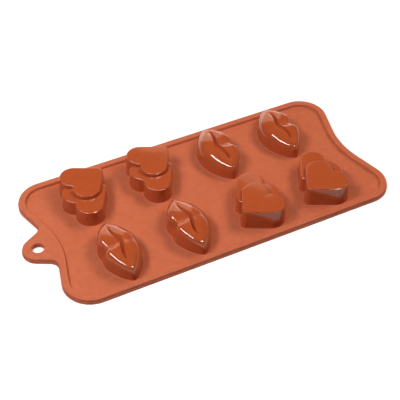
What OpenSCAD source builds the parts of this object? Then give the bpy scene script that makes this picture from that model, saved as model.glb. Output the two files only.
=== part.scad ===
// One-piece silicone mould for eight chocolates, lying as it is turned out:
// the backs of the cavities point up and the filling face is the flat underside.

/* [Sheet] */
// Length of the sheet along X, without the hanging tab
sheet_l = 214; // [200:1:260]
// Width of the sheet along Y
sheet_w = 104; // [100:1:140]
// Thickness of the panel between the cavities
panel_t = 1.4; // [1:0.1:2.5]
// Radius of the four corners
corner_r = 17; // [13:0.5:22]
// Radius of the hollow curve in the middle of each end
end_curve_r = 54; // [48:1:80]
// Depth of the hollow curve in each end
end_curve_depth = 7; // [4:0.5:9]

/* [Rim] */
// Height of the raised rim and of the tab above the filling face
rim_h = 3.4; // [3:0.1:5]
// Width of the flat top of the rim, to the foot of its rounded edges
rim_w = 4; // [3:0.1:6]
// Height of the parting line above the filling face
parting_h = 1.5; // [0.8:0.1:2.2]
// How far the lower half of the edge stands out past the upper half
parting_step = 0.4; // [0.2:0.05:0.8]
// Radius of the rounded top edges of the rim
rim_edge_r = 0.5; // [0.2:0.05:0.7]
// Slope of the inner wall of the rim, across from top to bottom
rim_slope = 0.25; // [0:0.05:0.6]

/* [Hanging tab] */
// Distance of the hole from the middle of the sheet
tab_x = 108.6; // [106:0.2:116]
// Radius of the rounded head of the tab
tab_head_r = 9.4; // [8:0.1:12]
// Diameter of the hanging hole
hole_d = 7.4; // [5:0.1:10]
// Radius of the two hollow necks that blend the tab into the end
neck_r = 5.6; // [4:0.1:8]
// Distance of each neck's centre from the middle of the tab
neck_y = 17; // [16:0.2:22]

/* [Layout of the cavities] */
// Distance between neighbouring cavities along X
pitch_x = 44.4; // [43:0.2:50]
// Distance between the two rows along Y
pitch_y = 48.5; // [47:0.5:54]
// How far the whole pattern of cavities lies off the middle of the sheet
pattern_at = [-0.9, -0.3]; // [-1:0.1:1]
// Thickness of the walls and tops of the cavities
wall_t = 1.8; // [1.2:0.1:2.2]
// Draft of the cavity walls, in degrees
draft = 4; // [2:0.5:8]
// Radius of the rounded top edges of the hearts
heart_edge_r = 0.8; // [0.3:0.1:1.2]

/* [Double heart] */
// Height of the tall heart above the filling face
tall_h = 14.2; // [12.5:0.1:18]
// Height of the low heart above the filling face
low_h = 11.6; // [8:0.1:12.4]
// Radius of the two lobes at the top
lobe_r = 8.2; // [7:0.1:9]
// Distance between the centres of the two lobes
lobe_pitch = 12.9; // [11:0.1:13.6]
// Distance from the line between the lobes to the centre of the rounded point
point_u = 14.5; // [13:0.1:17]
// Radius of the rounded point at the top
point_r = 2.8; // [1:0.1:3.5]
// Radius of the hollow between the lobes at the top
cleft_r = 0.9; // [0.5:0.1:2]
// Direction of the point, in degrees from the X axis
heart_angle = 197.4; // [185:0.2:215]
// Place of the tall heart from the middle of its cavity
tall_at = [1.9, -6.2]; // [-7:0.1:7]
// Place of the low heart from the middle of its cavity
low_at = [4.9, 5.3]; // [-7:0.1:7]

/* [Lips] */
// Place of the lips from the middle of their cavity
lips_at = [0.7, 0.3]; // [-1:0.1:1]
// Height of the lips above the filling face
lips_h = 14.8; // [12:0.1:18]
// How much lower the crest is at the ends of the mouth than in the middle
lips_end_fall = 2.6; // [0:0.1:3]
// Height at which the steep sides hand over to the domed top
lips_wall_h = 6.8; // [5:0.1:8.5]
// How much lower that height is at the two ends
lips_end_drop = 2.4; // [0:0.1:2.5]
// Length of the lips at the foot
lips_l = 42.8; // [36:0.2:45]
// Radius of the rounded ends at the foot
lips_end_r = 2.5; // [2.4:0.1:3]
// Width of the upper lip at the foot, from the middle line
upper_lip_w = 12.1; // [10:0.1:14]
// Width of the lower lip at the foot, from the middle line
lower_lip_w = 12.6; // [10:0.1:15]
// Depth of the notch in the upper lip at the foot
notch_depth = 1; // [0.5:0.1:3]
// Length of the line of the mouth
mouth_l = 23.4; // [16:0.2:26]
// Depth of the line of the mouth in its middle
mouth_depth = 2.6; // [0.5:0.1:3]
// How far the line of the mouth bows towards the lower lip
mouth_bow = 2.4; // [0:0.1:3.5]

/* [Hidden] */
silicone = "#cd6b4a";
// Depth by which solids that join run into each other
join = 0.3;
// Depth by which a cutter starts below the filling face
cut = 1;
col_x = pitch_x / 2;
row_y = pitch_y / 2;
rim_inner = parting_step + rim_w;

// Half-width of the notch, how much deeper it gets for each mm of height, and the valley above it
notch_w = 3.4;
notch_lean = 0.42;
valley_depth = 2;
valley_w = 3.4;
// Dip in the middle of the lower lip
dip_depth = 0.8;
// How blunt the lips' outline is, how full their dome, and how much fuller over the upper lip
lips_fullness = 1.75;
dome_n = 2.8;
dome_skew = 0.8;
// The line of the mouth: where its ends lie, the half-length of its bow, its half-width as a
// share of the way to the outline, and how much of its depth is lost at its ends
mouth_end_x = 1.2;
bow_w = 5.5;
mouth_w = 0.12;
mouth_fade = 0.45;
// Shares of the way from the line of the mouth to the sides at which the dome's rings lie
function dome_share(t) = pow(cos(t), 2 / dome_n);
lips_steps = concat([for (t = [0, 20, 38, 54, 70]) dome_share(t)], [0.2, 0.1, 0.03]);
inner_lips_steps = concat([for (t = [0, 28, 54]) dome_share(t)], [0.3, 0.06]);

// Numbers of steps round the curves. The end with the tab has twice as many in all as the other end.
corner_n = 8;
hollow_n = 8;
neck_n = 7;
head_n = 18;
rim_edge_n = 2;
lobe_n = 11;
cleft_n = 3;
heart_edge_n = 3;
lips_n = 16;
hole_n = 64;

// Points of an arc about c, from angle a0 to angle a1, both ends included
function arc(c, r, a0, a1, n) =
    [for (i = [0:n]) let (a = a0 + (a1 - a0) * i / n) c + r * [cos(a), sin(a)]];

// The same points turned half round the middle of the sheet
function turned(points) = [for (p = points) -p];

// A flat outline lifted to height z
function lifted(points, z) = [for (p = points) [p[0], p[1], z]];

// Centre of the upper right corner, and of the hollow curve of the right end
corner_at = [sheet_l / 2 - corner_r, sheet_w / 2 - corner_r];
hollow_at = [sheet_l / 2 - end_curve_depth + end_curve_r, 0];
to_hollow = hollow_at - corner_at;
// Angle at which the corner hands over to the straight flank beside the hollow curve
flank_a = atan2(to_hollow[1], to_hollow[0]) + acos(min(1, (corner_r + end_curve_r) / norm(to_hollow)));

// Right end of the sheet, from the lower side to the upper side
function end_points(inset) = concat(
    arc([corner_at[0], -corner_at[1]], corner_r - inset, -90, -flank_a, corner_n),
    arc(hollow_at, end_curve_r + inset, 180 - flank_a, 180 + flank_a, hollow_n),
    arc(corner_at, corner_r - inset, flank_a, 90, corner_n));

// Centre of the upper neck, which touches the straight flank of the end
neck_at = [
    -(hollow_at[0] - (end_curve_r - neck_r - sin(flank_a) * -neck_y) / cos(flank_a)), neck_y];
// Direction from the head of the tab to the upper neck, and from there to the line that touches both
to_neck = neck_at - [-tab_x, 0];
tab_side_a = atan2(to_neck[1], to_neck[0]) + acos(min(1, (tab_head_r + neck_r) / norm(to_neck)));

// Left end of the sheet with the hanging tab, from the upper side to the lower side
function tab_end_points(inset) = concat(
    arc([-corner_at[0], corner_at[1]], corner_r - inset, 90, 180 - flank_a, corner_n),
    arc(neck_at, neck_r + inset, -flank_a, tab_side_a - 180, neck_n),
    arc([-tab_x, 0], tab_head_r - inset, tab_side_a, 360 - tab_side_a, head_n),
    arc([neck_at[0], -neck_at[1]], neck_r + inset, 180 - tab_side_a, flank_a, neck_n),
    arc(-corner_at, corner_r - inset, 180 + flank_a, 270, corner_n));

// Outline of the sheet with its tab, and of the panel inside the rim
function sheet_outline(inset) = concat(end_points(inset), tab_end_points(inset));
function panel_outline(inset) = concat(end_points(inset), turned(end_points(inset)));

// End face of a loft whose outline is seen whole from its first point
function whole_cap(n) = [[for (i = [0:n - 1]) i]];

// End face of a loft whose outline has two sides that face each other, as strips across.
// The first side has n points, and the other has `ratio` steps to each of its steps.
function strip_cap(n, ratio) = let (end = n + ratio * (n - 1)) [for (i = [0:n - 2])
    concat([i, i + 1], [for (k = [0:ratio]) end - ratio * (i + 1) + k])];

// The same faces seen from the other side, on the ring that starts at point start
function flipped(faces, start) =
    [for (f = faces) [for (i = [len(f) - 1:-1:0]) start + f[i]]];

// Solid between rings of points that all have the same count, listed from the bottom up
module loft(rings, cap) {
    n = len(rings[0]);
    last = (len(rings) - 1) * n;
    polyhedron(
        points = [for (ring = rings) each ring],
        faces = concat(
            cap,
            [for (k = [0:n:last - 1], i = [0:n - 1]) [k + i, k + n + i, k + n + (i + 1) % n]],
            [for (k = [0:n:last - 1], i = [0:n - 1]) [k + i, k + n + (i + 1) % n, k + (i + 1) % n]],
            flipped(cap, last)),
        convexity = 6);
}

// Rings of a quarter-round top edge of radius r that ends at height top.
// Each entry is [how far the ring is inset, its height].
function edge_steps(r, top, n) =
    [for (i = [1:n]) let (a = 90 * i / n) [r * (1 - cos(a)), top - r * (1 - sin(a))]];

// Sheet with its raised rim and its tab, stepped outside at the parting line
module sheet() {
    n = len(end_points(0));
    difference() {
        union() {
            linear_extrude(parting_h) polygon(sheet_outline(0));
            loft(concat(
                [lifted(sheet_outline(parting_step), join)],
                [lifted(sheet_outline(parting_step), rim_h - rim_edge_r)],
                [for (s = edge_steps(rim_edge_r, rim_h, rim_edge_n)) lifted(sheet_outline(parting_step + s[0]), s[1])]),
                strip_cap(n, 2));
        }
        loft(concat(
            [lifted(panel_outline(rim_inner + rim_slope), panel_t)],
            [lifted(panel_outline(rim_inner), rim_h - rim_edge_r)],
            [for (s = edge_steps(rim_edge_r, rim_h, rim_edge_n)) lifted(panel_outline(rim_inner - s[0]), s[1])],
            [lifted(panel_outline(rim_inner - rim_edge_r), rim_h + cut)]),
            strip_cap(n, 1));
    }
}

// Hole through the tab, with its upper edge eased
module hang_hole() {
    translate([-tab_x, 0, -cut]) cylinder(d = hole_d, h = rim_h + 2 * cut, $fn = hole_n);
    translate([-tab_x, 0, rim_h - rim_edge_r])
        cylinder(d1 = hole_d, d2 = hole_d + 4 * rim_edge_r, h = 2 * rim_edge_r, $fn = hole_n);
}

// Straight distance from the lobes to the point, and half the angle of the point
point_reach = norm([point_u, lobe_pitch / 2]);
point_a = atan2(lobe_pitch / 2, point_u) + asin((lobe_r - point_r) / point_reach);
// Smallest radius of a heart's point and of the hollow between its lobes
tight_r = 0.3;

// Outline of a heart that points along X, grown all round from its size at the top.
// Where it is shrunk past its point's radius, the point steps back along its sides.
function heart_outline(grow) = let (
        b = lobe_pitch / 2,
        r = lobe_r + grow,
        tip_r = max(point_r + grow, tight_r),
        tip_u = point_u - (tip_r - point_r - grow) / sin(point_a),
        hollow_r = max(cleft_r - grow, tight_r),
        hollow_u = -sqrt(pow(r + hollow_r, 2) - b * b),
        a = asin(b / (r + hollow_r)))
    concat(
        arc([tip_u, 0], tip_r, 0, 90 - point_a, 2),
        arc([0, b], r, 90 - point_a, 180 + a, lobe_n),
        arc([hollow_u, 0], hollow_r, a, -a, cleft_n),
        arc([0, -b], r, 180 - a, 270 + point_a, lobe_n),
        arc([tip_u, 0], tip_r, point_a - 90, (point_a - 90) / 2, 1));

// One heart at its place, h high, with its surface moved in by shrink
module heart(at, h, shrink, foot_z) {
    top = h - shrink;
    function ring(inset, z) = lifted(heart_outline((h - z) * tan(draft) - shrink - inset), z);
    translate(at)
        rotate(heart_angle)
            loft(concat(
                [ring(0, foot_z), ring(0, top - heart_edge_r)],
                [for (s = edge_steps(heart_edge_r, top, heart_edge_n)) ring(s[0], s[1])]),
                whole_cap(len(heart_outline(0))));
}

module double_heart(shrink, foot_z) {
    heart(tall_at, tall_h, shrink, foot_z);
    heart(low_at, low_h, shrink, foot_z);
}

// Pointed outline of the lips without their notch, before it is widened by lips_end_r.
// It starts at the upper end, at angle 0, and goes round by the lower lip.
function lips_core(a) = let (s = sin(a))
    [(s > 0 ? lips_end_r - lower_lip_w : upper_lip_w - lips_end_r) * pow(abs(s), lips_fullness),
     (lips_l / 2 - lips_end_r) * cos(a)];

// Outward direction of that outline at angle a, found from two points close by
probe = 0.3;
function outward(a) = let (d = lips_core(a + probe) - lips_core(a - probe)) [d[1], -d[0]] / norm(d);

// Stations along one lip, from angle start on: each is [angle, outward direction]
function lip_stations(start) = [for (i = [0:lips_n])
    let (a = start + 180 * i / lips_n, near = max(start + 2 * probe, min(start + 180 - 2 * probe, a)))
    [a, outward(near)]];

// A station at an end of the lips, share of the way round from one lip to the other
function end_station(a, from, to, share) = let (d = from + (to - from) * share) [a, d / norm(d)];

// All the stations, from the middle of the upper end round by the lower lip
lower_side = lip_stations(0);
upper_side = lip_stations(180);
stations = concat(
    [end_station(0, upper_side[lips_n][1], lower_side[0][1], 2 / 3)],
    lower_side,
    [for (share = [1 / 3, 2 / 3]) end_station(180, lower_side[lips_n][1], upper_side[0][1], share)],
    upper_side,
    [end_station(0, upper_side[lips_n][1], lower_side[0][1], 1 / 3)]);

// Point of the steep sides at a station and height z, with the surface moved in by shrink.
// The notch cuts into the upper lip, which lies towards +X.
function lips_edge(station, z, shrink) = let (
        a = station[0],
        above = z - panel_t,
        p = lips_core(a) + station[1] * (lips_end_r - shrink - above * tan(draft)),
        depth = sin(a) < 0 ? (notch_depth + notch_lean * above) * pow(-sin(a), lips_fullness) : 0)
    p - [depth * exp(-pow(p[1] / notch_w, 2)), 0];

// Point of the line of the mouth that lies inside the outline at angle a
function mouth_point(a) = let (y = mouth_l / 2 * cos(a))
    [mouth_end_x - mouth_bow * exp(-pow(y / bow_w, 2)), y];

// Point of the domed top at a station: out is 1 at the sides and 0 at the line of the mouth
function dome_point(station, out, shrink) = let (
        a = station[0],
        to_end = pow(cos(a), 2),
        side_z = lips_wall_h - lips_end_drop * pow(to_end, 2),
        crest_z = lips_h - lips_end_fall * to_end,
        mouth = mouth_point(a),
        p = mouth + (lips_edge(station, side_z, shrink) - mouth) * out,
        full = dome_n - dome_skew * sin(a),
        rise = (crest_z - side_z) * pow(1 - pow(out, full), 1 / full),
        hollow = (sin(a) < 0 ? valley_depth : dip_depth) * exp(-pow(p[1] / valley_w, 2)) * sin(180 * out),
        line = mouth_depth * (1 - mouth_fade * to_end) * exp(-pow(out / mouth_w, 2)))
    [p[0], p[1], side_z + rise - hollow - line - shrink];

// Lips with a foot at height foot_z, closed along the line of the mouth
module lips(shrink, foot_z, steps) {
    foot = [for (station = stations) let (p = lips_edge(station, foot_z, shrink)) [p[0], p[1], foot_z]];
    translate(lips_at)
        loft(concat(
            [foot],
            [for (out = steps) [for (station = stations) dome_point(station, out, shrink)]]),
            strip_cap(len(stations) / 2, 1));
}

// Places of the four cavities of one kind, on the side of the row at first
module at_places(side) {
    translate(pattern_at)
        for (turn = [0, 180], col = [1, 3])
            rotate(turn)
                translate([col * col_x, side * row_y])
                    children();
}

module mould() {
    color(silicone)
        difference() {
            union() {
                sheet();
                at_places(-1) double_heart(0, panel_t - join);
                at_places(1) lips(0, panel_t - join, lips_steps);
            }
            at_places(-1) double_heart(wall_t, -cut);
            at_places(1) lips(wall_t, -cut, inner_lips_steps);
            hang_hole();
        }
}

mould();
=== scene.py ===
"""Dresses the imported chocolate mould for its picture.

The mould is one piece of silicone. It lies on its filling face, so the backs of its
eight cavities point up. The CAD solid gives its place and sizes. This script models
the same piece again with finer curves and small rounded edges, gives it its two
moulded finishes, and sets up the studio and the camera of the photograph.
"""

import logging
import math
from collections.abc import Callable, Sequence
from dataclasses import dataclass, field
from enum import Enum

import bmesh
import bpy
from mathutils import Matrix, Vector


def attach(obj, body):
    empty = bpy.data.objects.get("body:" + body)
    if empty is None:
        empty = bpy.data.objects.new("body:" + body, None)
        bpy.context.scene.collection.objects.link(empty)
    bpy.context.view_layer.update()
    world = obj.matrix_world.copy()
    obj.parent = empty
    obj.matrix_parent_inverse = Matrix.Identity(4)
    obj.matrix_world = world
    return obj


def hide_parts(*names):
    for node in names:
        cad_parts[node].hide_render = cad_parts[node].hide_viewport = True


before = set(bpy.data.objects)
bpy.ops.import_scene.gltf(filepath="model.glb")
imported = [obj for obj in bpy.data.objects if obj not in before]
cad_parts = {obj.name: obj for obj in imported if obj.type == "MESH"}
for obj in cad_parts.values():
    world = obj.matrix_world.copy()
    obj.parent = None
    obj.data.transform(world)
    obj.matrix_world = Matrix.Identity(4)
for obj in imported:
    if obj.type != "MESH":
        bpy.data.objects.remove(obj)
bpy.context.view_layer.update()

LOG = logging.getLogger("mould")
MM = 0.001
# Points this near to each other, in metres, are one point.
SAME_POINT = 1e-6
# How far a cutter reaches past the surface that it opens, in mm.
OVERCUT = 1.0
# A face points up where its normal's height is above this.
UPWARD = 0.9
# Edges between faces that turn by less than this, in degrees, are shaded smooth.
SMOOTH_BELOW = 38.0
Point = tuple[float, float]
Ring = list[Vector]


class Finish(Enum):
    """Which moulded finish a face has, by its material slot."""

    ERODED = 0
    POLISHED = 1


def to_linear(colour: str) -> tuple[float, float, float, float]:
    """Turns an sRGB hex colour to the linear one that shaders take.

    Args:
        colour: Six hex digits, such as "cd6b4a".

    Returns:
        Linear red, green, blue and an alpha of 1.
    """
    channels = [int(colour[i : i + 2], 16) / 255 for i in (0, 2, 4)]
    linear = [c / 12.92 if c <= 0.04045 else ((c + 0.055) / 1.055) ** 2.4 for c in channels]
    return (linear[0], linear[1], linear[2], 1.0)


def add_node(
    tree: bpy.types.NodeTree, kind: str, settings: dict | None = None, links: dict | None = None
) -> bpy.types.Node:
    """Adds a shader node with its settings and its incoming links.

    Args:
        tree: The tree that gets the node.
        kind: The node's type name.
        settings: Values by property name or input name or number.
        links: Outputs by the name or number of the input that they feed.

    Returns:
        The new node.
    """
    node = tree.nodes.new(kind)
    for name, value in (settings or {}).items():
        if isinstance(name, str) and hasattr(node, name):
            setattr(node, name, value)
        else:
            node.inputs[name].default_value = value
    for name, output in (links or {}).items():
        tree.links.new(output, node.inputs[name])
    return node


def add_math(
    tree: bpy.types.NodeTree, operation: str, *values: bpy.types.NodeSocket, clamp: bool = False
) -> bpy.types.NodeSocket:
    """Adds a math node.

    Args:
        tree: The tree that gets the node.
        operation: The node's operation.
        values: The outputs that it works on, in their order.
        clamp: Whether the result is kept between 0 and 1.

    Returns:
        The node's result.
    """
    settings = {"operation": operation, "use_clamp": clamp}
    return add_node(tree, "ShaderNodeMath", settings, dict(enumerate(values))).outputs[0]


def polar(centre: Point, radius: float, degrees: float) -> Point:
    """Returns the point at an angle and a distance from a centre."""
    angle = math.radians(degrees)
    return (centre[0] + radius * math.cos(angle), centre[1] + radius * math.sin(angle))


def arc_points(centre: Point, radius: float, start: float, end: float, steps: int) -> list[Point]:
    """Returns the points of an arc, both ends included, from angle start to angle end."""
    return [polar(centre, radius, start + (end - start) * i / steps) for i in range(steps + 1)]


def quarter_round(radius: float, steps: int) -> list[tuple[float, float]]:
    """Lists the steps round a quarter of a circle that starts upright and ends level.

    Args:
        radius: Radius of the rounded edge.
        steps: Number of steps.

    Returns:
        For each step, how far it goes in and how far it goes up.
    """
    angles = [math.pi / 2 * i / steps for i in range(steps + 1)]
    return [
        (radius * (math.cos(a) - math.cos(b)), radius * (math.sin(b) - math.sin(a)))
        for a, b in zip(angles, angles[1:])
    ]


def flared_foot(radius: float, steps: int, lean: float = 20.0) -> list[tuple[float, float]]:
    """Lists the rings of a hollow rounded foot, which starts a little under the panel.

    Args:
        radius: Radius of the hollow curve.
        steps: Number of steps.
        lean: Slope in degrees at which the foot comes out of the panel.

    Returns:
        For each ring, how far it lies outside the wall and how high above the panel.
    """
    start = math.radians(lean)
    angles = [start + (math.pi / 2 - start) * i / steps for i in range(steps + 1)]
    rings = [(radius * (1 - math.sin(a)), radius * (1 - math.cos(a))) for a in angles]
    sunk = 0.1
    first = (rings[0][0] + (rings[0][1] + sunk) / math.tan(start), -sunk)
    return [first] + rings


def select_only(piece: bpy.types.Object) -> None:
    """Makes one object the only selected one and the active one."""
    bpy.ops.object.select_all(action="DESELECT")
    piece.select_set(True)
    bpy.context.view_layer.objects.active = piece


class Editing:
    """Opens a piece in edit mode with nothing selected, and closes it again."""

    def __init__(self, piece: bpy.types.Object, mode: str = "VERT") -> None:
        """Keeps the piece and the selection mode for the time in edit mode."""
        self.piece = piece
        self.mode = mode

    def __enter__(self) -> "Editing":
        """Enters edit mode on the piece."""
        select_only(self.piece)
        bpy.ops.object.mode_set(mode="EDIT")
        bpy.ops.mesh.select_mode(type=self.mode)
        bpy.ops.mesh.select_all(action="DESELECT")
        return self

    def __exit__(self, *error: object) -> None:
        """Leaves edit mode."""
        bpy.ops.object.mode_set(mode="OBJECT")

    def choose(self, test: Callable[[Vector], bool]) -> None:
        """Selects the faces whose normal passes a test.

        Args:
            test: Says whether a face with this normal is wanted.
        """
        mesh = bmesh.from_edit_mesh(self.piece.data)
        for face in mesh.faces:
            face.select_set(test(face.normal))
        bmesh.update_edit_mesh(self.piece.data)


@dataclass
class Pen:
    """Draws a closed flat outline in edit mode, by extruding and spinning one point.

    Sizes in mm.
    """

    name: str
    start: Point
    height: float
    least_step: float = 1e-4

    def __post_init__(self) -> None:
        """Adds a small plane at the start and merges it to one point."""
        place = (self.start[0] * MM, self.start[1] * MM, self.height * MM)
        bpy.ops.object.select_all(action="DESELECT")
        bpy.ops.mesh.primitive_plane_add(size=MM, location=place)
        self.piece = bpy.context.object
        self.piece.name = self.piece.data.name = self.name
        bpy.ops.object.transform_apply(location=True)
        self.at = self.start
        bpy.ops.object.mode_set(mode="EDIT")
        bpy.ops.mesh.select_mode(type="VERT")
        bpy.ops.mesh.select_all(action="SELECT")
        bpy.ops.mesh.merge(type="CENTER")

    def line(self, to: Point) -> None:
        """Draws a straight line to a point, unless the pen is there already.

        Args:
            to: The point.
        """
        step = (to[0] - self.at[0], to[1] - self.at[1])
        if math.hypot(*step) > self.least_step:
            bpy.ops.mesh.extrude_region_move(
                TRANSFORM_OT_translate={"value": (step[0] * MM, step[1] * MM, 0)}
            )
            self.at = to

    def arc(self, centre: Point, radius: float, start: float, end: float, steps: int) -> None:
        """Draws a line to an arc's start and then the arc.

        Args:
            centre: Centre of the arc.
            radius: Radius of the arc.
            start: Angle at which it starts, in degrees.
            end: Angle at which it ends, in degrees.
            steps: Number of steps.
        """
        self.line(polar(centre, radius, start))
        bpy.ops.mesh.spin(
            steps=steps,
            angle=math.radians(end - start),
            center=(centre[0] * MM, centre[1] * MM, 0),
            axis=(0, 0, -1),
        )
        self.at = polar(centre, radius, end)

    def close(self) -> bpy.types.Object:
        """Joins the end to the start and fills the outline.

        Returns:
            The piece, one flat face.
        """
        bpy.ops.mesh.select_all(action="SELECT")
        bpy.ops.mesh.remove_doubles(threshold=SAME_POINT)
        bpy.ops.mesh.edge_face_add()
        bpy.ops.mesh.select_all(action="SELECT")
        bpy.ops.mesh.normals_make_consistent(inside=False)
        bpy.ops.object.mode_set(mode="OBJECT")
        return self.piece


def solid_from_rings(name: str, rings: Sequence[Ring]) -> bpy.types.Object:
    """Models a solid from a circle that is extruded ring by ring and capped at both ends.

    Each new ring is extruded in place and its points are then moved to their own places.
    A last ring whose two halves lie on each other closes on itself when it is merged.

    Args:
        name: Name of the piece.
        rings: Rings of points in millimetres, all of one count, from the bottom up.

    Returns:
        The piece, closed, with its faces pointing outwards.
    """
    count = len(rings[0])
    bpy.ops.object.select_all(action="DESELECT")
    bpy.ops.mesh.primitive_circle_add(vertices=count, radius=MM, fill_type="NGON")
    piece = bpy.context.object
    piece.name = piece.data.name = name
    bpy.ops.object.mode_set(mode="EDIT")
    bpy.ops.mesh.select_mode(type="VERT")
    bpy.ops.mesh.select_all(action="SELECT")
    mesh = bmesh.from_edit_mesh(piece.data)
    slot = mesh.verts.layers.int.new("slot")
    around = sorted(mesh.verts, key=lambda v: math.atan2(v.co.y, v.co.x))
    for number, vertex in enumerate(around):
        vertex[slot] = number
    for number, ring in enumerate(rings):
        if number:
            bpy.ops.mesh.extrude_region_move(TRANSFORM_OT_translate={"value": (0, 0, MM)})
        mesh = bmesh.from_edit_mesh(piece.data)
        slot = mesh.verts.layers.int["slot"]
        for vertex in mesh.verts:
            if vertex.select:
                vertex.co = ring[vertex[slot]] * MM
        bmesh.update_edit_mesh(piece.data)
    mesh.verts.layers.int.remove(slot)
    bpy.ops.mesh.select_all(action="SELECT")
    bpy.ops.mesh.remove_doubles(threshold=2 * SAME_POINT)
    bpy.ops.mesh.normals_make_consistent(inside=False)
    bpy.ops.object.mode_set(mode="OBJECT")
    return piece


def raised(outline: Sequence[Point], height: float) -> Ring:
    """Lifts a flat outline to a height."""
    return [Vector((x, y, height)) for x, y in outline]


def combine(piece: bpy.types.Object, tool: bpy.types.Object, operation: str) -> bpy.types.Object:
    """Adds a solid to a piece or cuts it out of it, and removes the solid.

    Args:
        piece: The piece that is changed.
        tool: The solid that is added or cut out.
        operation: UNION or DIFFERENCE.

    Returns:
        The changed piece.
    """
    select_only(piece)
    modifier = piece.modifiers.new("combine", "BOOLEAN")
    modifier.operation = operation
    modifier.solver = "EXACT"
    modifier.object = tool
    bpy.ops.object.modifier_apply(modifier=modifier.name)
    bpy.data.objects.remove(tool)
    return piece


def merged(pieces: Sequence[bpy.types.Object]) -> bpy.types.Object:
    """Joins pieces that don't touch each other into one object.

    Args:
        pieces: The pieces.

    Returns:
        The first piece, which now holds them all.
    """
    bpy.ops.object.select_all(action="DESELECT")
    for piece in pieces:
        piece.select_set(True)
    bpy.context.view_layer.objects.active = pieces[0]
    bpy.ops.object.join()
    return pieces[0]


def copied_to(
    piece: bpy.types.Object, places: Sequence[tuple[Point, float]]
) -> list[bpy.types.Object]:
    """Copies a piece to its places and removes the first one.

    Args:
        piece: The piece, modelled round the origin.
        places: For each copy its place, before it is turned round the middle, and the turn
            in degrees.

    Returns:
        The copies, each with its own mesh, its place in the mesh.
    """
    copies = []
    for number, (place, turn) in enumerate(places):
        select_only(piece)
        bpy.ops.object.duplicate()
        copy = bpy.context.object
        copy.name = copy.data.name = f"{piece.name}_{number + 1}"
        shift = Matrix.Translation((place[0] * MM, place[1] * MM, 0))
        copy.data.transform(Matrix.Rotation(math.radians(turn), 4, "Z") @ shift)
        copies.append(copy)
    bpy.data.objects.remove(piece)
    return copies


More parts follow.
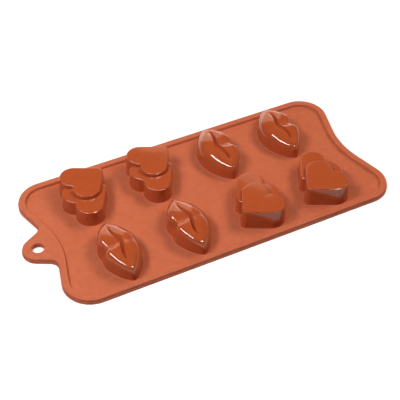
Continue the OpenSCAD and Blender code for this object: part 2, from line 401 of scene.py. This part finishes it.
@dataclass
class Sheet:
    """The flat sheet of silicone with its raised rim and its hanging tab. Sizes in mm."""

    length: float = 214.0
    width: float = 104.0
    panel: float = 1.4
    corner_r: float = 17.0
    end_curve_r: float = 54.0
    end_curve_depth: float = 7.0
    rim_h: float = 3.4
    rim_w: float = 4.0
    parting_h: float = 1.5
    parting_step: float = 0.4
    edge_r: float = 0.5
    rim_slope: float = 0.25
    foot_r: float = 0.5
    tab_x: float = 108.6
    head_r: float = 9.4
    hole_d: float = 7.4
    neck_r: float = 5.6
    neck_y: float = 17.0
    steps: int = 24
    edge_steps: int = 4
    hole_points: int = 96

    def __post_init__(self) -> None:
        """Works out where the corners, the hollow ends and the necks of the tab meet."""
        self.corner = (self.length / 2 - self.corner_r, self.width / 2 - self.corner_r)
        self.hollow = (self.length / 2 - self.end_curve_depth + self.end_curve_r, 0.0)
        across = (self.hollow[0] - self.corner[0], self.hollow[1] - self.corner[1])
        lean = math.degrees(math.acos((self.corner_r + self.end_curve_r) / math.hypot(*across)))
        self.flank = math.degrees(math.atan2(across[1], across[0])) + lean
        slope = math.radians(self.flank)
        reach = self.end_curve_r - self.neck_r + math.sin(slope) * self.neck_y
        self.neck = (-(self.hollow[0] - reach / math.cos(slope)), self.neck_y)
        to_neck = (self.neck[0] + self.tab_x, self.neck[1])
        lean = math.degrees(math.acos((self.head_r + self.neck_r) / math.hypot(*to_neck)))
        self.side = math.degrees(math.atan2(to_neck[1], to_neck[0])) + lean

    def outline(self, name: str, inset: float, height: float, tabbed: bool) -> bpy.types.Object:
        """Draws the sheet's outline as a filled face.

        Args:
            name: Name of the piece.
            inset: How far the outline lies inside the sheet's edge.
            height: Height of the outline.
            tabbed: Whether the left end has the hanging tab.

        Returns:
            The piece, one flat face.
        """
        (x, y), flank, steps = self.corner, self.flank, self.steps
        round_r, hollow_r = self.corner_r - inset, self.end_curve_r + inset
        pen = Pen(name, polar((x, -y), round_r, -90), height)
        pen.arc((x, -y), round_r, -90, -flank, steps)
        pen.arc(self.hollow, hollow_r, 180 - flank, 180 + flank, steps)
        pen.arc((x, y), round_r, flank, 90, steps)
        pen.arc((-x, y), round_r, 90, 180 - flank, steps)
        if tabbed:
            neck_x, neck_y = self.neck
            neck_r, head_r, side = self.neck_r + inset, self.head_r - inset, self.side
            pen.arc((neck_x, neck_y), neck_r, -flank, side - 180, steps)
            pen.arc((-self.tab_x, 0), head_r, side, 360 - side, 2 * steps)
            pen.arc((neck_x, -neck_y), neck_r, 180 - side, flank, steps)
        else:
            pen.arc((-self.hollow[0], 0), hollow_r, -flank, flank, steps)
        pen.arc((-x, -y), round_r, 180 + flank, 270, steps)
        return pen.close()

    def build(self) -> bpy.types.Object:
        """Models the sheet with its stepped edge, its rim and the panel sunk inside it.

        Returns:
            The closed sheet, without its hole.
        """
        sheet = self.outline("sheet", 0, 0, True)
        with Editing(sheet, "FACE"):
            bpy.ops.mesh.select_all(action="SELECT")
            self.rise(self.parting_h)
            self.step_in(self.parting_step, 0)
            self.rise(self.rim_h - self.edge_r - self.parting_h)
            for inward, upward in quarter_round(self.edge_r, self.edge_steps):
                self.step_in(inward, upward)
            bpy.ops.mesh.select_all(action="SELECT")
            bpy.ops.mesh.normals_make_consistent(inside=False)
        return combine(sheet, self.pocket(), "DIFFERENCE")

    def rise(self, height: float) -> None:
        """Extrudes the selected face up, or down if the height is below zero."""
        bpy.ops.mesh.extrude_region_move(TRANSFORM_OT_translate={"value": (0, 0, height * MM)})

    def step_in(self, inward: float, upward: float) -> None:
        """Insets the selected face and then moves it up, or down if upward is below zero."""
        bpy.ops.mesh.inset(thickness=inward * MM, depth=0)
        bpy.ops.transform.translate(value=(0, 0, upward * MM))

    def pocket(self) -> bpy.types.Object:
        """Models the space inside the rim, which is cut down to the panel.

        Returns:
            The cutter.
        """
        inner = self.parting_step + self.rim_w
        pocket = self.outline("pocket", inner - self.edge_r, self.rim_h + OVERCUT, False)
        with Editing(pocket, "FACE"):
            bpy.ops.mesh.select_all(action="SELECT")
            self.rise(-OVERCUT)
            for inward, upward in quarter_round(self.edge_r, self.edge_steps):
                self.step_in(upward, -inward)
            self.step_in(self.rim_slope, self.panel + self.foot_r + self.edge_r - self.rim_h)
            for inward, upward in quarter_round(self.foot_r, self.edge_steps):
                self.step_in(inward, -upward)
            bpy.ops.mesh.select_all(action="SELECT")
            bpy.ops.mesh.normals_make_consistent(inside=False)
        return pocket

    def hang_hole(self) -> bpy.types.Object:
        """Models the cutter for the hole in the tab, with an eased edge at the top.

        Returns:
            The cutter.
        """
        start = self.rim_h - self.edge_r
        bpy.ops.object.select_all(action="DESELECT")
        bpy.ops.mesh.primitive_cylinder_add(
            vertices=self.hole_points,
            radius=self.hole_d / 2 * MM,
            depth=(start + OVERCUT) * MM,
            location=(-self.tab_x * MM, 0, (start - OVERCUT) / 2 * MM),
        )
        hole = bpy.context.object
        hole.name = hole.data.name = "hang_hole"
        bpy.ops.object.transform_apply(location=True)
        with Editing(hole, "FACE") as editing:
            editing.choose(lambda normal: normal.z > UPWARD)
            size = self.hole_d / 2
            for inward, upward in quarter_round(self.edge_r, self.edge_steps):
                self.rise(upward)
                grown = size + inward
                bpy.ops.transform.resize(
                    value=(grown / size, grown / size, 1),
                    center_override=(-self.tab_x * MM, 0, 0),
                )
                size = grown
            self.rise(OVERCUT)
            bpy.ops.mesh.select_all(action="SELECT")
            bpy.ops.mesh.normals_make_consistent(inside=False)
        return hole


@dataclass
class HeartShape:
    """Outline of a heart that points along X, with its rounded point and its cleft.

    Sizes in mm.
    """

    lobe_r: float = 8.2
    lobe_pitch: float = 12.9
    point_u: float = 14.5
    point_r: float = 2.8
    cleft_r: float = 0.9
    tight_r: float = 0.3
    middle_u: float = 4.5
    tip_steps: int = 5
    lobe_steps: int = 44
    cleft_steps: int = 4

    def points(self, grow: float) -> list[Point]:
        """Lists the outline's points.

        Args:
            grow: How far the outline is grown all round from its size at the top.

        Returns:
            The points, from the tip round the upper lobe and back below.
        """
        half = self.lobe_pitch / 2
        lean = math.asin((self.lobe_r - self.point_r) / math.hypot(self.point_u, half))
        point_a = math.degrees(math.atan2(half, self.point_u) + lean)
        lobe_r = self.lobe_r + grow
        tip_r = max(self.point_r + grow, self.tight_r)
        tip_u = self.point_u - (tip_r - self.point_r - grow) / math.sin(math.radians(point_a))
        cleft_r = max(self.cleft_r - grow, self.tight_r)
        cleft_u = -math.sqrt((lobe_r + cleft_r) ** 2 - half * half)
        cleft_a = math.degrees(math.asin(half / (lobe_r + cleft_r)))
        upper = arc_points((tip_u, 0), tip_r, 0, 90 - point_a, self.tip_steps)
        upper += arc_points((0, half), lobe_r, 90 - point_a, 180 + cleft_a, self.lobe_steps)
        upper += arc_points((cleft_u, 0), cleft_r, cleft_a, 0, self.cleft_steps)[1:]
        return upper + [(u, -v) for u, v in reversed(upper[1:-1])]


@dataclass
class DoubleHeart:
    """Two overlapping hearts of one size and two heights. Sizes in mm."""

    wall: float = 1.8
    draft: float = 4.0
    edge_r: float = 0.8
    least_edge_r: float = 0.3
    foot_r: float = 0.4
    tall_h: float = 14.2
    low_h: float = 11.6
    crown: float = 0.06
    angle: float = 197.4
    tall_at: Point = (1.9, -6.2)
    low_at: Point = (4.9, 5.3)
    foot_steps: int = 5
    edge_steps: int = 6
    crown_rings: tuple[float, ...] = (0.9, 0.75, 0.55, 0.3)
    shape: HeartShape = field(default_factory=HeartShape)

    def heart(
        self, name: str, at: Point, height: float, shrink: float, foot: float
    ) -> bpy.types.Object:
        """Models one heart at its place in the pair.

        Args:
            name: Name of the piece.
            at: Place of the middle between the heart's lobes.
            height: Height of its top above the filling face.
            shrink: How far its surface lies inside the outer one.
            foot: Height of its foot, below 0 for a cavity's cutter.

        Returns:
            The closed heart.
        """
        slope, top = math.tan(math.radians(self.draft)), height - shrink - self.crown
        edge = max(self.edge_r - shrink / 3, self.least_edge_r)

        def ring(inset: float, level: float) -> Ring:
            grow = (height - level) * slope - shrink - inset
            return raised(self.shape.points(grow), level)

        if foot > 0:
            flare = flared_foot(self.foot_r, self.foot_steps)
            rings = [ring(-outward, foot + upward) for outward, upward in flare]
        else:
            rings = [ring(0, foot)]
        rings += [ring(0, (foot + top - edge) / 2), ring(0, top - edge)]
        inset, level = 0.0, top - edge
        for inward, upward in quarter_round(edge, self.edge_steps):
            inset, level = inset + inward, level + upward
            rings.append(ring(inset, level))
        rim = rings[-1]
        middle = Vector((self.shape.middle_u, 0, top))
        for share in self.crown_rings:
            lift = self.crown * (1 - share * share)
            rings.append([middle + (p - middle) * share + Vector((0, 0, lift)) for p in rim])
        piece = solid_from_rings(name, rings)
        turn = Matrix.Rotation(math.radians(self.angle), 4, "Z")
        piece.data.transform(Matrix.Translation((at[0] * MM, at[1] * MM, 0)) @ turn)
        return piece

    def build(self, name: str, shrink: float, foot: float) -> bpy.types.Object:
        """Models the pair as one solid.

        Args:
            name: Name of the piece.
            shrink: How far its surface lies inside the outer one.
            foot: Height of its foot, below 0 for a cavity's cutter.

        Returns:
            The closed pair.
        """
        tall = self.heart(name, self.tall_at, self.tall_h, shrink, foot)
        low = self.heart(name + "_low", self.low_at, self.low_h, shrink, foot)
        return combine(tall, low, "UNION")


@dataclass
class Lips:
    """Pursed lips with steep sides, a domed top and a sunk line of the mouth. Sizes in mm.

    The lower lip lies towards -X, and the notched upper lip towards +X.
    """

    draft: float = 4.0
    height: float = 14.62
    end_fall: float = 2.6
    wall_top: float = 6.8
    end_drop: float = 2.4
    foot_z: float = 1.4
    foot_r: float = 0.4
    length: float = 42.8
    upper_w: float = 12.1
    lower_w: float = 12.6
    end_r: float = 2.5
    fullness: float = 1.75
    notch_depth: float = 1.0
    notch_lean: float = 0.42
    notch_w: float = 3.4
    valley: float = 2.0
    valley_w: float = 3.4
    dip: float = 0.8
    dome: float = 2.8
    dome_skew: float = 0.8
    mouth_l: float = 23.4
    mouth_x: float = 1.2
    mouth_bow: float = 2.4
    bow_w: float = 5.5
    groove: float = 2.8
    groove_fade: float = 0.45
    groove_w: float = 0.085
    at: Point = (0.7, 0.3)
    half_points: int = 60
    end_points: int = 8
    foot_steps: int = 5
    dome_steps: int = 16
    groove_rings: tuple[float, ...] = (0.13, 0.1, 0.075, 0.05, 0.025, 0.0)

    def core(self, angle: float) -> Vector:
        """Works out the pointed outline without its notch, before it is widened by end_r.

        Args:
            angle: The angle round the outline, 0 and pi at its ends.

        Returns:
            The point in plan.
        """
        s, c = math.sin(angle), math.cos(angle)
        width = self.end_r - self.lower_w if s > 0 else self.upper_w - self.end_r
        return Vector((width * abs(s) ** self.fullness, (self.length / 2 - self.end_r) * c))

    def stations(self) -> list[tuple[float, Vector]]:
        """Lists the points round the outline, with more of them round its two ends.

        Returns:
            The angle and the outward direction of each point.
        """
        listed: list[tuple[float, Vector]] = []
        nudge = 0.005
        for start in (0.0, math.pi):
            for i in range(self.half_points + 1):
                angle = start + math.pi * i / self.half_points
                near = min(max(angle, start + 2 * nudge), start + math.pi - 2 * nudge)
                along = self.core(near + nudge) - self.core(near - nudge)
                listed.append((angle, Vector((along.y, -along.x)).normalized()))
        count = self.half_points + 1
        for last in (2 * count - 1, count - 1):
            (angle, one), (_, other) = listed[last], listed[(last + 1) % (2 * count)]
            steps = [one.slerp(other, i / self.end_points) for i in range(1, self.end_points)]
            listed[last + 1 : last + 1] = [(angle, step) for step in steps]
        return listed

    def edge(self, angle: float, outward: Vector, level: float, shrink: float) -> Vector:
        """Returns the point of the steep sides at an angle and a height.

        Args:
            angle: The angle round the outline.
            outward: The outline's outward direction there.
            level: Height of the point.
            shrink: How far the surface lies inside the outer one.

        Returns:
            The point in plan.
        """
        above = level - self.foot_z
        reach = self.end_r - shrink - above * math.tan(math.radians(self.draft))
        point = self.core(angle) + outward * reach
        if math.sin(angle) < 0:
            notch = self.notch_depth + self.notch_lean * above
            fade = abs(math.sin(angle)) ** self.fullness
            point.x -= notch * math.exp(-((point.y / self.notch_w) ** 2)) * fade
        return point

    def mouth(self, angle: float) -> Vector:
        """Returns the point of the line of the mouth that lies inside the outline's point."""
        y = self.mouth_l / 2 * math.cos(angle)
        return Vector((self.mouth_x - self.mouth_bow * math.exp(-((y / self.bow_w) ** 2)), y))

    def domed(self, out: float, shrink: float) -> Ring:
        """Returns a ring of the domed top.

        Args:
            out: 1 at the top of the steep sides and 0 at the line of the mouth.
            shrink: How far the surface lies inside the outer one.

        Returns:
            The ring's points.
        """
        ring = []
        for angle, outward in self.stations():
            to_end = math.cos(angle) ** 2
            side = self.wall_top - self.end_drop * to_end**2
            crest = self.height - self.end_fall * to_end
            mouth = self.mouth(angle)
            point = mouth + (self.edge(angle, outward, side, shrink) - mouth) * out
            full = self.dome - self.dome_skew * math.sin(angle)
            rise = (crest - side) * (1 - out**full) ** (1 / full)
            middle = math.exp(-((point.y / self.valley_w) ** 2)) * math.sin(math.pi * out)
            hollow = middle * (self.valley if math.sin(angle) < 0 else self.dip)
            line = self.groove * (1 - self.groove_fade * to_end)
            line *= math.exp(-((out / self.groove_w) ** 2))
            ring.append(Vector((*point, side + rise - hollow - line - shrink)))
        return ring

    def build(self, name: str, shrink: float, foot: float) -> bpy.types.Object:
        """Models the lips.

        Args:
            name: Name of the piece.
            shrink: How far the surface lies inside the outer one.
            foot: Height of the foot, below 0 for a cavity's cutter.

        Returns:
            The closed lips.
        """

        def ring(outward: float, level: float) -> Ring:
            inset = shrink - outward
            return [Vector((*self.edge(a, n, level, inset), level)) for a, n in self.stations()]

        feet = flared_foot(self.foot_r, self.foot_steps) if foot > 0 else [(0.0, 0.0)]
        rings = [ring(outward, foot + upward) for outward, upward in feet]
        rings.append(ring(0, (foot + self.wall_top - shrink) / 2))
        angles = [math.pi / 2 * i / self.dome_steps for i in range(self.dome_steps - 1)]
        outs = [math.cos(a) ** (2 / self.dome) for a in angles]
        outs += self.groove_rings
        rings += [self.domed(out, shrink) for out in outs]
        middle = Vector((*self.at, 0))
        return solid_from_rings(name, [[point + middle for point in ring] for ring in rings])


def finish_slots(piece: bpy.types.Object) -> None:
    """Gives a piece one empty material slot for each finish."""
    for _ in Finish:
        piece.data.materials.append(None)


@dataclass
class Mould:
    """The whole mould: the sheet, the backs of its eight cavities and the cavities.

    Sizes in mm.
    """

    pitch_x: float = 44.4
    pitch_y: float = 48.5
    pattern_at: Point = (-0.9, -0.3)
    sheet: Sheet = field(default_factory=Sheet)
    hearts: DoubleHeart = field(default_factory=DoubleHeart)
    lips: Lips = field(default_factory=Lips)

    def places(self, side: int) -> list[tuple[Point, float]]:
        """Lists the four places of one kind of cavity.

        Args:
            side: 1 for the far row and -1 for the near row, before the half turn.

        Returns:
            For each cavity its place before the turn, and the turn in degrees.
        """
        row = side * self.pitch_y / 2
        columns = (self.pitch_x / 2, self.pitch_x * 1.5)
        return [((x, row), turn) for turn in (0.0, 180.0) for x in columns]

    def backs(self, shrink: float, foot: float) -> bpy.types.Object:
        """Models all eight cavities' solids at their places.

        Args:
            shrink: How far their surface lies inside the outer one.
            foot: Height of their foot, below 0 for the cutters.

        Returns:
            One object with the eight solids.
        """
        hearts = self.hearts.build("double_heart", shrink, foot)
        lips = self.lips.build("lips", shrink, foot)
        backs = merged(copied_to(hearts, self.places(-1)) + copied_to(lips, self.places(1)))
        backs.data.transform(Matrix.Translation((*(MM * at for at in self.pattern_at), 0)))
        return backs

    def build(self) -> bpy.types.Object:
        """Models the mould as one closed mesh in place of its CAD solid.

        Returns:
            The mould, with an empty slot for each finish.
        """
        mould = self.sheet.build()
        mould.name = mould.data.name = "silicone_mould"
        backs = self.backs(0.0, self.sheet.panel)
        matte_below = (self.sheet.panel + self.hearts.foot_r) * MM
        for piece, finish in ((mould, Finish.ERODED), (backs, Finish.POLISHED)):
            finish_slots(piece)
            for face in piece.data.polygons:
                at_foot = face.center.z < matte_below
                face.material_index = Finish.ERODED.value if at_foot else finish.value
        mould = combine(mould, backs, "UNION")
        cavities = self.backs(self.hearts.wall, -OVERCUT)
        finish_slots(cavities)
        for face in cavities.data.polygons:
            face.material_index = Finish.POLISHED.value
        mould = combine(mould, cavities, "DIFFERENCE")
        mould = combine(mould, self.sheet.hang_hole(), "DIFFERENCE")
        self.finish_mesh(mould)
        return mould

    def finish_mesh(self, mould: bpy.types.Object) -> None:
        """Cleans the joined mesh and shades its curves smooth.

        Args:
            mould: The joined mesh.
        """
        with Editing(mould):
            bpy.ops.mesh.select_all(action="SELECT")
            bpy.ops.mesh.remove_doubles(threshold=2 * SAME_POINT)
            bpy.ops.mesh.select_all(action="DESELECT")
        select_only(mould)
        bpy.ops.object.shade_smooth_by_angle(angle=math.radians(SMOOTH_BELOW))
        weighted = mould.modifiers.new("weighted", "WEIGHTED_NORMAL")
        weighted.keep_sharp = True
        bpy.ops.object.modifier_apply(modifier=weighted.name)


# The mix node has sockets of one name for each data type, so its colours go by number.
MIX_A, MIX_B, MIX_RESULT = 6, 7, 2


@dataclass(frozen=True)
class Silicone:
    """Moulded silicone rubber, dyed terracotta.

    The rubber is moulded in a steel tool. The tool's spark-eroded faces leave it a fine
    matte grain, which scatters the light and makes the panel and the rim look paler.
    Its polished faces leave the backs and the cavities glossy, and deeper in colour.
    The dye is never stirred in quite evenly, which mottles the rubber softly. The real
    grain and mottling are too fine to show in the picture, so both are drawn coarser
    than they are. Lengths in mm.
    """

    name: str
    colour: str
    deep: str
    roughness: float
    bump: float
    grain: float
    coat: float
    mottling: float = 4.0
    refraction: float = 1.41
    coat_roughness: float = 0.03

    def material(self) -> bpy.types.Material:
        """Makes the finish's material.

        Returns:
            The material.
        """
        material = bpy.data.materials.new(self.name)
        material.use_nodes = True
        tree = material.node_tree
        tree.nodes.clear()
        place = add_node(tree, "ShaderNodeTexCoord").outputs["Object"]
        cloud = add_node(
            tree,
            "ShaderNodeTexNoise",
            {"Scale": 1 / (self.mottling * MM), "Detail": 4.0, "Roughness": 0.75},
            {"Vector": place},
        )
        colour = add_node(
            tree,
            "ShaderNodeMix",
            {"data_type": "RGBA", MIX_A: to_linear(self.deep), MIX_B: to_linear(self.colour)},
            {0: cloud.outputs["Fac"]},
        )
        grain = add_node(
            tree,
            "ShaderNodeTexNoise",
            {"Scale": 1 / (self.grain * MM), "Detail": 3.0, "Roughness": 0.55},
            {"Vector": place},
        )
        bump = add_node(
            tree,
            "ShaderNodeBump",
            {"Strength": 1.0, "Distance": self.bump * MM},
            {"Height": grain.outputs["Fac"]},
        )
        shader = add_node(
            tree,
            "ShaderNodeBsdfPrincipled",
            {
                "Roughness": self.roughness,
                "IOR": self.refraction,
                "Coat Weight": self.coat,
                "Coat Roughness": self.coat_roughness,
            },
            {"Base Color": colour.outputs[MIX_RESULT], "Normal": bump.outputs["Normal"]},
        )
        add_node(tree, "ShaderNodeOutputMaterial", None, {"Surface": shader.outputs[0]})
        return material


ERODED = Silicone(
    name="silicone_spark_eroded",
    colour="cf6d45",
    deep="b45430",
    roughness=0.6,
    bump=0.05,
    grain=1.0,
    coat=0.0,
)
POLISHED = Silicone(
    name="silicone_polished",
    colour="bf5830",
    deep="aa4a22",
    roughness=0.08,
    bump=0.002,
    grain=1.2,
    coat=0.25,
)


@dataclass(frozen=True)
class Softbox:
    """A rectangular studio lamp. Sizes in metres, angles in degrees.

    It stands in the direction around, from +Y towards +X, and above, from the floor. It
    points at the mould unless it has a facing of its own. A lamp that isn't mirrored
    only lights, and one that doesn't light only shows in reflections.
    """

    name: str
    around: float
    above: float
    distance: float
    size: Point
    watts: float
    colour: str = "ffffff"
    facing: tuple[float, float, float] | None = None
    mirrored: bool = True
    lights: bool = True

    def light(self) -> None:
        """Adds the lamp to the scene."""
        around, above = math.radians(self.around), math.radians(self.above)
        place = self.distance * Vector(
            (
                math.sin(around) * math.cos(above),
                math.cos(around) * math.cos(above),
                math.sin(above),
            )
        )
        lamp = bpy.data.lights.new(self.name, "AREA")
        lamp.shape = "RECTANGLE"
        lamp.size, lamp.size_y = self.size
        lamp.energy = self.watts
        lamp.color = to_linear(self.colour)[:3]
        holder = bpy.data.objects.new(self.name, lamp)
        holder.location = place
        holder.visible_glossy = self.mirrored
        holder.visible_diffuse = self.lights
        facing = Vector(self.facing) if self.facing else -place
        holder.rotation_euler = facing.to_track_quat("-Z", "Y").to_euler()
        bpy.context.scene.collection.objects.link(holder)


@dataclass
class Studio:
    """The pale paper on the floor, the lamps and the world round the mould.

    The two strips give the highlights of the photograph, and the two soft lamps the
    shading on both sides of each back. The backdrop is the upright pale sheet behind the
    mould. It faces the way that its top edge in the hearts' reflections says. The paper
    glows enough to come out just white where it is lit, with the mould's shadow still on
    it, and the glow grows with the distance, where the lamps reach the paper less. The
    world is white to the camera. To reflections it is white low down and a dim room
    above. Lengths in metres. The two heights of the world's white are those of a
    direction, 0 at the horizon and 1 straight up.
    """

    lamps: tuple[Softbox, ...] = (
        Softbox(
            name="left_strip",
            around=-92.0,
            above=58.0,
            distance=1.0,
            size=(0.95, 0.1),
            watts=12.0,
            lights=False,
        ),
        Softbox(
            name="right_strip",
            around=163.0,
            above=54.0,
            distance=1.0,
            size=(0.5, 0.1),
            watts=8.0,
            lights=False,
        ),
        Softbox(
            name="left_soft",
            around=-92.0,
            above=53.0,
            distance=0.75,
            size=(0.4, 0.2),
            watts=3.75,
            mirrored=False,
        ),
        Softbox(
            name="right_soft",
            around=92.0,
            above=52.0,
            distance=1.5,
            size=(0.8, 0.5),
            watts=13.2,
            mirrored=False,
        ),
        Softbox(
            name="backdrop",
            around=5.5,
            above=18.5,
            distance=1.16,
            size=(1.2, 0.72),
            watts=3.9,
            colour="ffe4cc",
            facing=(-0.808, -0.589, 0.0),
        ),
    )
    room: float = 0.03
    white_below: float = 0.08
    dim_above: float = 0.3
    paper: str = "bcbcbc"
    paper_size: float = 6.0
    paper_gap: float = 0.02 * MM
    glow: float = 0.62
    glow_near: float = 0.25
    glow_far: float = 0.9

    def build(self) -> None:
        """Sets up the floor, the lamps and the world."""
        self.floor()
        for lamp in self.lamps:
            lamp.light()
        self.world()

    def world(self) -> None:
        """Makes the world, white to the camera, and low down to reflections."""
        world = bpy.data.worlds.new("studio")
        bpy.context.scene.world = world
        world.use_nodes = True
        tree = world.node_tree
        tree.nodes.clear()
        path = add_node(tree, "ShaderNodeLightPath").outputs
        view = add_node(tree, "ShaderNodeTexCoord").outputs["Generated"]
        height = add_node(tree, "ShaderNodeSeparateXYZ", None, {0: view}).outputs["Z"]
        low = add_node(
            tree,
            "ShaderNodeMapRange",
            {
                "interpolation_type": "SMOOTHSTEP",
                "From Min": self.dim_above,
                "From Max": self.white_below,
            },
            {"Value": height},
        ).outputs[0]
        mirrored = add_math(tree, "ADD", path["Is Glossy Ray"], path["Is Transmission Ray"])
        white = add_math(tree, "MULTIPLY_ADD", mirrored, low, path["Is Camera Ray"], clamp=True)
        plain = {"Color": (1, 1, 1, 1)}
        room = add_node(tree, "ShaderNodeBackground", plain | {"Strength": self.room})
        seen = add_node(tree, "ShaderNodeBackground", plain | {"Strength": 1.0})
        mix = add_node(
            tree,
            "ShaderNodeMixShader",
            None,
            {0: white, 1: room.outputs[0], 2: seen.outputs[0]},
        )
        add_node(tree, "ShaderNodeOutputWorld", None, {"Surface": mix.outputs[0]})

    def floor(self) -> None:
        """Lays the paper, white to the camera and to reflections, with the shadow on it."""
        bpy.ops.object.select_all(action="DESELECT")
        bpy.ops.mesh.primitive_plane_add(size=self.paper_size, location=(0, 0, -self.paper_gap))
        floor = bpy.context.object
        floor.name = floor.data.name = "floor"
        bpy.ops.object.transform_apply(location=True)
        material = bpy.data.materials.new("pale_paper")
        material.use_nodes = True
        tree = material.node_tree
        tree.nodes.clear()
        path = add_node(tree, "ShaderNodeLightPath").outputs
        mirrored = add_math(tree, "ADD", path["Is Glossy Ray"], path["Is Transmission Ray"])
        seen = add_math(tree, "ADD", mirrored, path["Is Camera Ray"], clamp=True)
        place = add_node(tree, "ShaderNodeTexCoord").outputs["Object"]
        away = add_node(tree, "ShaderNodeVectorMath", {"operation": "LENGTH"}, {0: place})
        glow = add_node(
            tree,
            "ShaderNodeMapRange",
            {
                "interpolation_type": "SMOOTHSTEP",
                "From Min": self.glow_near,
                "From Max": self.glow_far,
                "To Min": self.glow,
                "To Max": 1.0,
            },
            {"Value": away.outputs["Value"]},
        ).outputs[0]
        paper = add_node(tree, "ShaderNodeBsdfDiffuse", {"Color": to_linear(self.paper)})
        white = add_node(
            tree,
            "ShaderNodeEmission",
            {"Color": (1, 1, 1, 1)},
            {"Strength": add_math(tree, "MULTIPLY", seen, glow)},
        )
        both = add_node(
            tree, "ShaderNodeAddShader", None, {0: paper.outputs[0], 1: white.outputs[0]}
        )
        add_node(tree, "ShaderNodeOutputMaterial", None, {"Surface": both.outputs[0]})
        floor.data.materials.append(material)


@dataclass(frozen=True)
class Viewpoint:
    """The photograph's camera, as worked out from the sheet's outline.

    Angles in degrees, lengths in mm.
    """

    azimuth: float = -27.879
    elevation: float = 43.913
    roll: float = 0.999
    distance: float = 637.4
    focal_pixels: float = 1036.8
    photo_pixels: float = 400.0
    sensor: float = 36.0
    nearest: float = 10.0
    aim: Point = (-3.019, -3.468)

    def place(self) -> None:
        """Adds the camera."""
        around, above = math.radians(self.azimuth), math.radians(self.elevation)
        back = Vector(
            (
                math.sin(around) * math.cos(above),
                -math.cos(around) * math.cos(above),
                math.sin(above),
            )
        )
        right = (-back).cross(Vector((0, 0, 1))).normalized()
        up = right.cross(-back)
        tilt = math.radians(self.roll)
        right, up = (
            math.cos(tilt) * right + math.sin(tilt) * up,
            math.cos(tilt) * up - math.sin(tilt) * right,
        )
        spot = (self.aim[0] * right + self.aim[1] * up + self.distance * back) * MM
        lens = bpy.data.cameras.new("camera")
        lens.sensor_width = self.sensor
        lens.lens = self.focal_pixels * self.sensor / self.photo_pixels
        lens.clip_start = self.nearest * MM
        holder = bpy.data.objects.new("camera", lens)
        matrix = Matrix((right, up, back)).transposed().to_4x4()
        matrix.translation = spot
        holder.matrix_world = matrix
        bpy.context.scene.collection.objects.link(holder)
        bpy.context.scene.camera = holder


def main() -> None:
    """Builds the mould, the studio and the camera."""
    logging.basicConfig(level=logging.INFO, format="%(name)s: %(message)s")
    Viewpoint().place()
    mould = Mould().build()
    mould.data.materials[Finish.ERODED.value] = ERODED.material()
    mould.data.materials[Finish.POLISHED.value] = POLISHED.material()
    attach(mould, "root")
    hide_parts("mould")
    LOG.info("%s: %d faces", mould.name, len(mould.data.polygons))
    Studio().build()
    bpy.context.scene.view_settings.view_transform = "Standard"


if __name__ == "__main__":
    main()
